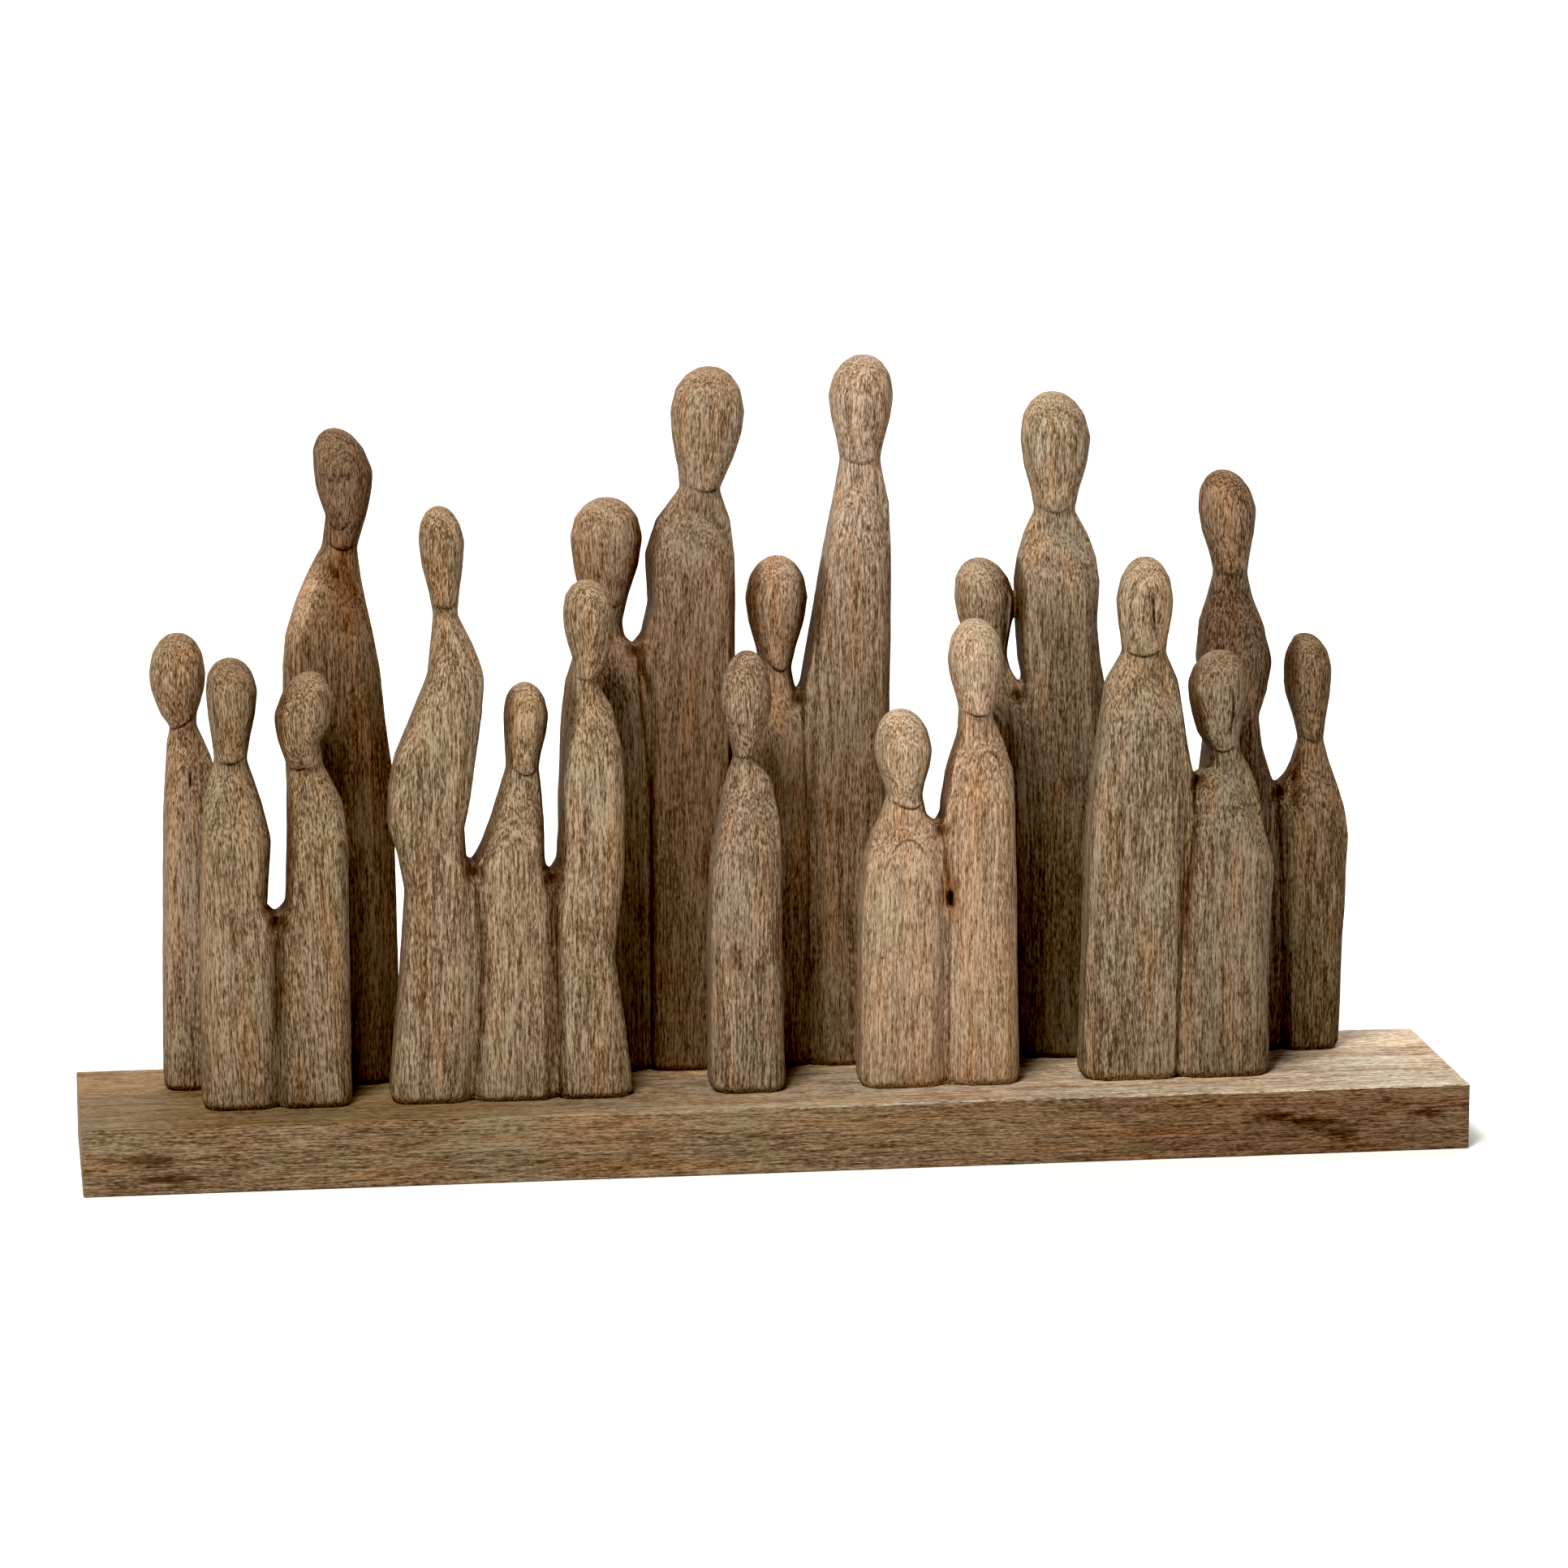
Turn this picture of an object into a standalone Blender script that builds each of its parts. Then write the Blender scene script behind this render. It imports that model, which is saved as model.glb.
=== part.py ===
"""A carved wooden group: twenty plain figures on one plank.

Ten boards stand in two rows on the plank. Each board is sawn and carved into one to four
figures, which stay one piece of wood from their feet up to the saddle between them.
Metres, +Z up. The origin is the middle of the plank's underside; the front looks to -Y.
"""

import math

import bmesh
import bpy

# The plank that carries the group
PLANK_LENGTH = 0.620
PLANK_DEPTH = 0.111
PLANK_THICKNESS = 0.030
PLANK_EDGE = 0.0008

# The boards that the figures are carved from
BOARD_THICKNESS = 0.030
TALLEST_FIGURE = 0.323
SEAT_GAP = 0.0003

# The carving of each figure
FOOT_EASE = 0.0020
SADDLE_RISE = 0.0060
JOIN_OVERLAP = 0.0030
SHOULDER_SLOPE = 0.040
NECK_DEPTH = 0.017
CHIN_STEP = 0.0012
HEAD_INSET = 0.0012

# How square a section is: 2 is an ellipse, more is closer to a box
BODY_SQUARENESS = 5.0
NECK_SQUARENESS = 2.6
HEAD_SQUARENESS = 2.2
SECTION_POINTS = 12
# No two rings of a body lie closer than this
RING_SPACE = 0.0036
# Edges sharper than this stay crisp when the wood is shaded smooth
SHARP_ANGLE = math.radians(35.0)

# Parts in which the plank's free length is shared out, from its left end to its right end
FRONT_SPACES = (54, 17, 34.5, 33.5, 29, 84)
BACK_SPACES = (35.5, 24, 73, 28.5, 37.5, 39)
# Parts in which its free depth is shared out: before, between and behind the two rows
DEPTH_SPACES = (26, 16, 9)
# The two single figures at the back left stand forward by this share of the space between rows
STAND_FORWARD = 0.40

PALE_WOOD = (0.43, 0.31, 0.20)
BROWN_WOOD = (0.31, 0.21, 0.13)
RED_WOOD = (0.25, 0.15, 0.09)
PLANK_WOOD = (0.34, 0.23, 0.14)
WOOD_ROUGHNESS = 0.62

# Each figure is drawn in parts of the tallest one's height, which is 323 parts.
# foot: reach to the left and to the right of the figure's axis at the foot.
# body: height, reach to the left, reach to the right. neck, jaw and head are given the same
# way, head at its widest. crown: height, and place right of the axis.
# ridge: where a turned head comes to an edge in front, as a share of its half width.
# A saddle is the height at which a figure parts from the next one on its board.
FRONT_ROW = (
    dict(
        name="front_left_pair",
        wood=PALE_WOOD,
        saddles=(83,),
        figures=(
            dict(
                foot=(16.5, 16.5),
                body=((89, 16, 13), (120, 14.3, 15.3), (136, 13.4, 11.7)),
                neck=(155, 8.5, 5.5),
                head=(186, 11.7, 10.8),
                crown=(200, -1.2),
            ),
            dict(
                foot=(16.5, 16.3),
                body=((89, 11.2, 16), (119, 10, 16), (134, 10, 14.5)),
                neck=(152, 9.8, 6),
                jaw=(163, 13.6, 4.4),
                head=(174, 15, 9.8),
                crown=(193, 1.2),
                ridge=0.35,
            ),
        ),
    ),
    dict(
        name="front_trio",
        wood=PALE_WOOD,
        saddles=(103, 99),
        figures=(
            dict(
                foot=(18.3, 18),
                body=(
                    (57, 12.8, 23),
                    (93, 10, 21),
                    (109, 13, 16.5),
                    (123, 17.2, 15.7),
                    (137, 17, 18.7),
                    (153, 14, 21),
                    (176, 4.3, 24.3),
                    (190, -1.2, 25.7),
                    (205, -2.5, 20.2),
                ),
                neck=(217, -3.7, 14),
                head=(250, 2.4, 17.4),
                crown=(265, 6.5),
            ),
            dict(
                foot=(19, 19),
                body=((60, 15.5, 18), (104, 17, 14.2), (114, 12.7, 14), (125, 8.7, 14), (137, 5.3, 13.4)),
                neck=(148, 2, 12.3),
                head=(172, 2.8, 16.8),
                crown=(186, 6.5),
            ),
            dict(
                foot=(17, 17.3),
                body=(
                    (31, 17.5, 13.6),
                    (64, 18, 8.7),
                    (98, 16, 13.2),
                    (134, 13.4, 14),
                    (159, 12, 12.3),
                    (174, 8.8, 8.9),
                ),
                neck=(187, 7.8, 1.5),
                jaw=(196, 8, 7),
                head=(217, 12.3, 10.2),
                crown=(231, -2),
                ridge=0.16,
            ),
        ),
    ),
    dict(
        name="front_single",
        wood=PALE_WOOD,
        saddles=(),
        figures=(
            dict(
                foot=(16.6, 17),
                body=((69, 16.8, 15.1), (100, 15.6, 15.2), (121, 12.3, 14.6), (140, 8.7, 11.2)),
                neck=(150, 5.2, 3),
                head=(176, 11.4, 11.6),
                crown=(198, 0.8),
            ),
        ),
    ),
    dict(
        name="front_middle_pair",
        wood=PALE_WOOD,
        saddles=(116,),
        figures=(
            dict(
                foot=(19.5, 19.5),
                body=((22, 19, 19.5), (77, 18.7, 19.5), (103, 16.2, 17), (116, 12.2, 15), (124, 8.2, 9.5)),
                neck=(131, 6.8, 9),
                head=(152, 12.2, 13.4),
                crown=(170, -0.5),
            ),
            dict(
                foot=(17.5, 16),
                body=((36, 16.5, 15), (94, 17.5, 14), (127, 18.5, 13), (142, 16.2, 12.5), (155, 12.5, 8.3)),
                neck=(166, 10.4, 3.3),
                head=(192, 16.3, 8.6),
                crown=(210, -4.5),
            ),
        ),
    ),
    dict(
        name="front_right_pair",
        wood=PALE_WOOD,
        saddles=(135,),
        figures=(
            dict(
                foot=(20.5, 22),
                body=((56, 19.3, 23), (114, 17.9, 26.5), (139, 15.3, 27), (162, 12.3, 24.3), (180, 10.4, 22)),
                neck=(193, 3, 16.3),
                head=(217, 5.7, 19.3),
                crown=(236, 7),
            ),
            dict(
                foot=(22, 21.3),
                body=((56, 20.5, 20.3), (96, 18.5, 21.9), (113, 17, 17.3), (130, 14.5, 15), (140, 8.5, 11.3)),
                neck=(148, 6.8, 6.2),
                jaw=(156, 12.2, 6.2),
                head=(178, 16.7, 9.3),
                crown=(193, -2),
            ),
        ),
    ),
)

BACK_ROW = (
    dict(
        name="back_left_single",
        wood=BROWN_WOOD,
        forward=STAND_FORWARD,
        saddles=(),
        figures=(
            dict(
                foot=(16.4, 16),
                body=((60, 15.5, 14), (124, 14, 9.5), (147, 12.5, 8), (156, 12, 4.5)),
                neck=(163, 10.3, 1.3),
                jaw=(169, 14.6, 1.4),
                head=(187, 19.4, 5.8),
                crown=(205, -6.5),
            ),
        ),
    ),
    dict(
        name="back_tall_left",
        wood=RED_WOOD,
        forward=STAND_FORWARD,
        saddles=(),
        figures=(
            dict(
                foot=(22, 23),
                body=(
                    (101, 25, 21.5),
                    (142, 26, 20.7),
                    (164, 26.7, 18),
                    (188, 26.8, 15.8),
                    (203, 25.2, 13),
                    (216, 21, 10.5),
                    (230, 15.5, 8),
                ),
                neck=(242, 8.8, 6.5),
                jaw=(256, 6.8, 11),
                head=(276, 11.8, 14.2),
                crown=(295, -3),
            ),
        ),
    ),
    dict(
        name="back_quartet",
        wood=BROWN_WOOD,
        saddles=(192, 139, 168),
        figures=(
            dict(
                foot=(20, 20),
                body=((126, 19.5, 20), (160, 17.8, 20), (177, 16, 19), (193, 11.5, 11)),
                neck=(205, 7.5, 9.3),
                head=(243, 13.8, 18.7),
                crown=(261, 2.5),
            ),
            dict(
                foot=(20, 20),
                body=(
                    (140, 20, 18),
                    (177, 20, 19.5),
                    (195, 22, 19.5),
                    (212, 18.3, 19.6),
                    (234, 19.6, 19.7),
                    (250, 15, 18),
                ),
                neck=(264, 4.4, 13.3),
                jaw=(272, 5, 17),
                head=(299, 8.6, 24.8),
                crown=(319, 8.8),
            ),
            dict(
                foot=(16.5, 16.5),
                body=((100, 17, 16.5), (140, 17.5, 15.5), (155, 15, 14), (169, 8.5, 11.5)),
                neck=(182, 4.6, 9),
                head=(214, 11.4, 16.8),
                crown=(233, 3),
            ),
            dict(
                foot=(19.5, 19.5),
                body=((100, 20.5, 18), (169, 22.5, 17.2), (195, 18, 17.8), (229, 12.2, 17.8), (257, 7.3, 17)),
                neck=(276, 4.3, 13.5),
                head=(305, 9.6, 19.4),
                crown=(323, 6),
            ),
        ),
    ),
    dict(
        name="back_inner_pair",
        wood=BROWN_WOOD,
        saddles=(168,),
        figures=(
            dict(
                foot=(17.5, 17.5),
                body=((105, 18, 15.5), (155, 19.1, 12), (171, 18.5, 8.3), (179, 17, 3.4)),
                neck=(186, 15, 1.8),
                head=(212, 22, 5.4),
                crown=(230, -11),
            ),
            dict(
                foot=(17.5, 17.5),
                body=(
                    (105, 19.5, 16.5),
                    (169, 24, 11.7),
                    (183, 26.8, 8.7),
                    (200, 28.2, 7.3),
                    (219, 28.9, 8.2),
                    (230, 28, 7),
                    (241, 25.1, 3.1),
                ),
                neck=(251, 20.4, -2.8),
                head=(284, 27.4, 4.6),
                crown=(305, -13),
            ),
        ),
    ),
    dict(
        name="back_outer_pair",
        wood=BROWN_WOOD,
        saddles=(120,),
        figures=(
            dict(
                foot=(19.5, 19.5),
                body=(
                    (113, 19.5, 17),
                    (142, 16.5, 8),
                    (156, 15.5, 6.2),
                    (170, 17.5, 10.8),
                    (184, 21, 14.2),
                    (198, 19.3, 8.3),
                    (209, 16.4, 3.8),
                ),
                neck=(221, 13.4, 1.2),
                head=(250, 20.9, 5),
                crown=(268, -10.5),
            ),
            dict(
                foot=(14, 12.6),
                body=((49, 14, 13.8), (99, 15, 15.8), (112, 15.5, 13.8), (122, 14, 11), (132, 9.6, 7.2)),
                neck=(143, 6.4, 4.2),
                head=(176, 14.5, 7.7),
                crown=(192, -4.5),
            ),
        ),
    ),
)

DRAWN_HEIGHT = max(figure["crown"][0] for board in FRONT_ROW + BACK_ROW for figure in board["figures"])
UNIT = TALLEST_FIGURE / DRAWN_HEIGHT

# The chin's ring lies this share of the way from the neck to the widest part of the head
CHIN_SHARE = 0.08
# The rings between the chin and the widest part, and from there to the crown
CHEEK_RINGS = (0.30, 0.65, 1.0)
CROWN_RINGS = (0.50, 0.80, 0.95)
# How late a head widens above the chin: 1 is at once, more is later
CHIN_FULLNESS = 1.6
# How closely a turned head's front is drawn together to its edge
RIDGE_PINCH = 0.75


def clear_scene():
    for item in list(bpy.data.objects):
        bpy.data.objects.remove(item, do_unlink=True)


def wood(name, colour):
    material = bpy.data.materials.new(name)
    material.use_nodes = True
    shader = material.node_tree.nodes["Principled BSDF"]
    shader.inputs["Base Color"].default_value = (*colour, 1.0)
    shader.inputs["Roughness"].default_value = WOOD_ROUGHNESS
    shader.inputs["Metallic"].default_value = 0.0
    return material


def ease(share):
    """A smooth way from 0 to 1."""
    share = min(max(share, 0.0), 1.0)
    return share * share * (3.0 - 2.0 * share)


def reach(figure, up):
    """The figure's reach to the left and to the right of its axis, below its neck."""
    rows = ((0.0, *figure["foot"]), *figure["body"], figure["neck"])
    for low, high in zip(rows, rows[1:]):
        if up <= high[0]:
            share = (up - low[0]) / (high[0] - low[0])
            return tuple(a + (b - a) * share for a, b in zip(low[1:], high[1:]))
    return figure["neck"][1:]


def joined_reach(board, number, up):
    """The reach with the figure's flanks grown into its neighbours below the saddles."""
    figure = board["figures"][number]
    left, right = reach(figure, up)
    overlap = JOIN_OVERLAP / UNIT / 2.0
    rise = SADDLE_RISE / UNIT
    if number > 0:
        saddle = board["saddles"][number - 1]
        neighbour = board["figures"][number - 1]
        space = neighbour["foot"][1] + figure["foot"][0]
        middle = (space - reach(neighbour, up)[1] + left) / 2.0
        held = 1.0 - ease((up - saddle) / rise)
        left += (middle + overlap - left) * held
    if number < len(board["figures"]) - 1:
        saddle = board["saddles"][number]
        neighbour = board["figures"][number + 1]
        space = figure["foot"][1] + neighbour["foot"][0]
        middle = (space - reach(neighbour, up)[0] + right) / 2.0
        held = 1.0 - ease((up - saddle) / rise)
        right += (middle + overlap - right) * held
    return left, right


def body_heights(board, number):
    """Where a figure's body has a ring: at its drawn rows, its saddles and its shoulder."""
    figure = board["figures"][number]
    ease_up = FOOT_EASE / UNIT
    neck = figure["neck"][0]
    wanted = [row[0] for row in figure["body"]]
    wanted.append(neck - SHOULDER_SLOPE / UNIT)
    for saddle in board["saddles"][max(number - 1, 0):number + 1]:
        wanted.append(saddle)
        wanted.append(saddle + SADDLE_RISE / UNIT)
    kept = [0.0, ease_up]
    closest = RING_SPACE / UNIT
    for height in sorted(wanted):
        if height - kept[-1] > closest and neck - height > closest:
            kept.append(height)
    return kept


def ring(left, right, depth, height, squareness, ridge=None):
    """One level section as points round the figure's axis, in the board's own frame."""
    middle = (right - left) / 2.0
    half_width = (left + right) / 2.0
    half_depth = depth / 2.0
    step = 2.0 * math.pi / SECTION_POINTS
    power = 2.0 / squareness
    points = []
    for count in range(SECTION_POINTS):
        angle = (count + 0.5) * step
        across = math.copysign(abs(math.cos(angle)) ** power, math.cos(angle))
        along = math.copysign(abs(math.sin(angle)) ** power, math.sin(angle))
        if ridge is not None and math.sin(angle) < -math.cos(step):
            across = ridge + (across - ridge) * (1.0 - RIDGE_PINCH)
            along = -1.0
        points.append((middle + half_width * across, half_depth * along, height))
    return points


def body_rings(board, number):
    figure = board["figures"][number]
    neck = figure["neck"][0] * UNIT
    rings = []
    for count, up in enumerate(body_heights(board, number)):
        left, right = (side * UNIT for side in joined_reach(board, number, up))
        height = up * UNIT
        towards_neck = ease((height - neck + SHOULDER_SLOPE) / SHOULDER_SLOPE)
        depth = BOARD_THICKNESS + (NECK_DEPTH - BOARD_THICKNESS) * towards_neck
        squareness = BODY_SQUARENESS + (NECK_SQUARENESS - BODY_SQUARENESS) * towards_neck
        inset = FOOT_EASE if count == 0 else 0.0
        rings.append(ring(left - inset, right - inset, depth - 2.0 * inset, height, squareness))
    left, right = (side * UNIT for side in figure["neck"][1:])
    rings.append(ring(left, right, NECK_DEPTH, neck, NECK_SQUARENESS))
    return rings


def cheek_rows(figure):
    """Height and reach of a head from just above its chin to its widest part."""
    neck = figure["neck"]
    head = figure["head"]
    low = figure.get("jaw", neck)
    rows = []
    if "jaw" in figure:
        rows.append(low)
    for share in CHEEK_RINGS:
        fullness = 1.0 if "jaw" in figure else CHIN_FULLNESS
        grown = math.sin(share * math.pi / 2.0) ** fullness
        sides = [a + (b - a) * grown for a, b in zip(low[1:], head[1:])]
        rows.append((low[0] + (head[0] - low[0]) * share, *sides))
    chin = [a + (b - a) * CHIN_SHARE for a, b in zip(neck, rows[0])]
    return [chin] + rows


def head_rings(figure):
    neck, widest = figure["neck"][0], figure["head"][0]
    _, head_left, head_right = (size * UNIT for size in figure["head"])
    crown, crown_place = (size * UNIT for size in figure["crown"])
    head_depth = BOARD_THICKNESS - 2.0 * HEAD_INSET
    chin_depth = NECK_DEPTH + 2.0 * CHIN_STEP
    ridge = figure.get("ridge")
    rings = []
    for up, left, right in cheek_rows(figure):
        grown = math.sin((up - neck) / (widest - neck) * math.pi / 2.0)
        depth = chin_depth + (head_depth - chin_depth) * grown
        rings.append(ring(left * UNIT, right * UNIT, depth, up * UNIT, HEAD_SQUARENESS, ridge))
    middle = (head_right - head_left) / 2.0
    half_width = (head_left + head_right) / 2.0
    for share in CROWN_RINGS:
        closing = math.sqrt(1.0 - share * share)
        place = middle + (crown_place - middle) * share
        half = half_width * closing
        height = widest * UNIT + (crown - widest * UNIT) * share
        section = ring(half - place, half + place, head_depth * closing, height, HEAD_SQUARENESS, ridge)
        rings.append(section)
    return rings, (crown_place, 0.0, crown)


def figure_mesh(board, number):
    """One figure as a closed skin over its rings, standing on its own axis."""
    head, crown = head_rings(board["figures"][number])
    rings = body_rings(board, number) + head
    mesh = bpy.data.meshes.new("figure")
    shape = bmesh.new()
    rows = [[shape.verts.new(point) for point in points] for points in rings]
    for low, high in zip(rows, rows[1:]):
        for count in range(SECTION_POINTS):
            after = (count + 1) % SECTION_POINTS
            shape.faces.new((low[count], low[after], high[after], high[count]))
    shape.faces.new(list(reversed(rows[0])))
    top = shape.verts.new(crown)
    for count in range(SECTION_POINTS):
        shape.faces.new((rows[-1][count], rows[-1][(count + 1) % SECTION_POINTS], top))
    shape.to_mesh(mesh)
    shape.free()
    return mesh


def axis_places(board):
    """Where each figure's axis stands, measured from the first one's."""
    places = [0.0]
    for before, after in zip(board["figures"], board["figures"][1:]):
        places.append(places[-1] + (before["foot"][1] + after["foot"][0]) * UNIT)
    return places


def extent(board):
    """How far a board reaches to each side of its first figure's axis."""
    lows = []
    highs = []
    for figure, place in zip(board["figures"], axis_places(board)):
        rows = [figure["foot"], figure["head"][1:]] + [row[1:] for row in figure["body"]]
        lows.append(place - max(row[0] for row in rows) * UNIT)
        highs.append(place + max(row[1] for row in rows) * UNIT)
    return min(lows), max(highs)


def join(target, other):
    union = target.modifiers.new("join", "BOOLEAN")
    union.operation = "UNION"
    union.solver = "EXACT"
    union.object = other
    bpy.context.view_layer.objects.active = target
    bpy.ops.object.modifier_apply(modifier=union.name)
    bpy.data.objects.remove(other, do_unlink=True)


def make_board(board, place_x, place_y):
    """Carve a board's figures as one piece and stand it on the plank."""
    piece = None
    for number, axis in enumerate(axis_places(board)):
        item = bpy.data.objects.new(board["name"], figure_mesh(board, number))
        bpy.context.collection.objects.link(item)
        item.location = (place_x + axis, place_y, PLANK_THICKNESS + SEAT_GAP)
        bpy.context.view_layer.update()
        if piece is None:
            piece = item
        else:
            join(piece, item)
    piece.data.materials.clear()
    piece.data.materials.append(wood(board["name"] + "_wood", board["wood"]))
    piece.data.shade_smooth()
    piece.data.set_sharp_from_angle(angle=SHARP_ANGLE)
    return piece


def make_row(boards, spaces, place_y, row_space):
    """Share the plank's free length out between the boards of one row."""
    extents = [extent(board) for board in boards]
    free = PLANK_LENGTH - sum(high - low for low, high in extents)
    share = free / sum(spaces)
    start = -PLANK_LENGTH / 2.0
    for board, (low, high), space in zip(boards, extents, spaces):
        start += space * share
        forward = board.get("forward", 0.0) * row_space
        make_board(board, start - low, place_y - forward)
        start += high - low


def make_plank():
    bpy.ops.mesh.primitive_cube_add(size=1.0, location=(0.0, 0.0, PLANK_THICKNESS / 2.0))
    plank = bpy.context.active_object
    plank.name = "plank"
    plank.scale = (PLANK_LENGTH, PLANK_DEPTH, PLANK_THICKNESS)
    bpy.ops.object.transform_apply(location=False, rotation=False, scale=True)
    edge = plank.modifiers.new("eased edge", "BEVEL")
    edge.width = PLANK_EDGE
    edge.segments = 1
    plank.data.materials.append(wood("plank_wood", PLANK_WOOD))


clear_scene()
make_plank()
free_depth = (PLANK_DEPTH - 2.0 * BOARD_THICKNESS) / sum(DEPTH_SPACES)
before_rows, between_rows, behind_rows = (space * free_depth for space in DEPTH_SPACES)
front_y = -PLANK_DEPTH / 2.0 + before_rows + BOARD_THICKNESS / 2.0
back_y = PLANK_DEPTH / 2.0 - behind_rows - BOARD_THICKNESS / 2.0
make_row(FRONT_ROW, FRONT_SPACES, front_y, between_rows)
make_row(BACK_ROW, BACK_SPACES, back_y, between_rows)
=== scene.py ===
import math

import bpy
import numpy as np
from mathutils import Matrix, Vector
from mathutils.bvhtree import BVHTree


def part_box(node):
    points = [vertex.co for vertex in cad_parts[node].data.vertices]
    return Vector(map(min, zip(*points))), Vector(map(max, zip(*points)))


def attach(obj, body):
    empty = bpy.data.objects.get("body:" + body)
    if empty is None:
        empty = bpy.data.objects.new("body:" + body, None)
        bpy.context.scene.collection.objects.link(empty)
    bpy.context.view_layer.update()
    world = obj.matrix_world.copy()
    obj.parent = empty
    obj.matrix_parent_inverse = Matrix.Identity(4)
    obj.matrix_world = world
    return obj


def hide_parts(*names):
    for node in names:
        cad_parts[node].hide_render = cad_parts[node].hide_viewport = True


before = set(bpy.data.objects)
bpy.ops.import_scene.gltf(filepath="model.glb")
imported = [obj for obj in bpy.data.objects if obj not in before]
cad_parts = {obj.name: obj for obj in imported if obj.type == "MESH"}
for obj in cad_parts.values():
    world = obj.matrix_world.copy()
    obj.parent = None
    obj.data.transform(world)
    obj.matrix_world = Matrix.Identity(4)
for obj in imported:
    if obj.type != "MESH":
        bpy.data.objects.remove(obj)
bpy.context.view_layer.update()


# The plank
# One sawn and planed board of mango wood, on which both rows stand. Its grain runs along it, its
# corners are square, and sandpaper has just taken the sharpness off its edges. It is spotted at its
# ends, redder in front, paler on top to the right, partly as paler wood and partly as a painted
# sheen, and warmer in a strip behind to the left.

plank_edge = 0.0009
plank_cut_spacing = 0.0045
plank_hollow = 0.00022
plank_wave = 0.035
plain = (1.0, 1.0, 1.0, 1.0)
front_reddens = (0.08, 0.20)
front_red = (0.84, 0.75, 0.72, 1.0)
top_starts = (0.0290, 0.0296)
# The top pales to the right: partly paler wood, partly a painted sheen.
top_pale_and_sheen_span = (-0.22, 0.29)
top_left_colour = (0.86, 0.84, 0.72, 1.0)
top_right_pale_and_sheen = (2.60, 3.15, 4.00, 1.0)
strip_starts = (0.0055, 0.0060)
strip_fades = (0.20, -0.05)
strip_left_over = 0.25
strip_colour = (1.26, 1.18, 1.06, 1.0)
spot_colour = (0.42, 0.35, 0.29, 1.0)
spot_depth = 0.02

# The wood's pattern, sized in mm across and along the grain, and what changes its colour.
wide_swing = ((60.0, 160.0), 6.0)
small_swing = ((12.0, 40.0), 1.2)
fibre_size = (0.50, 3.2)
strand_size = (0.80, 15.0)
growth_size = (2.0, 120.0)
year_size = (7.5, 160.0)
cloud_size = (30.0, 55.0)
warm_size = (9.0, 70.0)
pore_size = (0.90, 3.8)
pore_radius = 0.42
pore_core = 0.35
pale_gain = (1.62, 1.70, 1.80)
brown_gain = (0.80, 0.76, 0.70)
stain_gain = (0.30, 0.24, 0.18)
warm_colour = (1.12, 0.93, 0.76, 1.0)
grey_colour = (0.86, 0.97, 0.96, 1.0)
# The colour of painted shade and of real dark cracks and marks.
shade_and_mark_colour = (0.24, 0.15, 0.09, 1.0)
# The colour of painted shade in the skin's hollows.
hollow_shade_colour = (0.40, 0.30, 0.22, 1.0)
proud_colour = (1.30, 1.22, 1.10, 1.0)
bump_height = 0.00035


def add(tree, kind, inputs, **settings):
    """A shader node with its settings, each socket set to a value or linked to another socket."""
    made = tree.nodes.new("ShaderNode" + kind)
    for name, value in settings.items():
        setattr(made, name, value)
    for socket, value in inputs.items():
        if isinstance(value, bpy.types.NodeSocket):
            tree.links.new(value, made.inputs[socket])
        else:
            made.inputs[socket].default_value = value
    return made


def vector(tree, way, first, second):
    """Two vectors added, subtracted or multiplied, part by part."""
    return add(tree, "VectorMath", {0: first, 1: second}, operation=way).outputs[0]


def length(tree, value):
    return add(tree, "VectorMath", {0: value}, operation="LENGTH").outputs["Value"]


def noise(tree, place, size, detail=2.0, roughness=0.5):
    """Cloudy values round 0.5. size is the size of a cloud in mm across and along the grain."""
    across, along = size
    scaled = vector(tree, "MULTIPLY", place, (1 / across, 1 / across, 1 / along))
    return add(tree, "TexNoise", {"Vector": scaled, "Scale": 1.0, "Detail": detail, "Roughness": roughness})


def step(tree, value, low, high, start=0.0, end=1.0):
    """start below low, end above high, and a smooth way between them."""
    inputs = {0: value, 1: low, 2: high, 3: start, 4: end}
    return add(tree, "MapRange", inputs, interpolation_type="SMOOTHSTEP").outputs[0]


def blend(tree, share, first, second, way="MIX"):
    """The first colour with a share of the second."""
    inputs = {0: share, 6: first, 7: second}
    return add(tree, "Mix", inputs, data_type="RGBA", blend_type=way).outputs[2]


def times(tree, first, second):
    return add(tree, "Math", {0: first, 1: second}, operation="MULTIPLY").outputs[0]


def added(tree, start, value, factor):
    """start, with the value times a factor added to it."""
    return add(tree, "Math", {0: value, 1: factor, 2: start}, operation="MULTIPLY_ADD").outputs[0]


def vessels(tree, place, across, along, radius):
    """The cut pores of the wood: spindles along the grain, 1 in a pore and 0 beside it."""
    scaled = vector(tree, "MULTIPLY", place, (1 / across, 1 / across, 1 / along))
    cells = add(tree, "TexVoronoi", {"Vector": scaled, "Scale": 1.0, "Randomness": 1.0})
    return step(tree, cells.outputs["Distance"], radius * pore_core, radius, 1.0, 0.0)


def coordinates(tree):
    """Place in the object, in metres: X, Y and Z."""
    return add(tree, "SeparateXYZ", {0: add(tree, "TexCoord", {}).outputs["Object"]}).outputs


def toned(colour, gain):
    """The colour with each of its parts multiplied by its own gain."""
    return [part * more for part, more in zip(colour, gain)] + [1.0]


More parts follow.
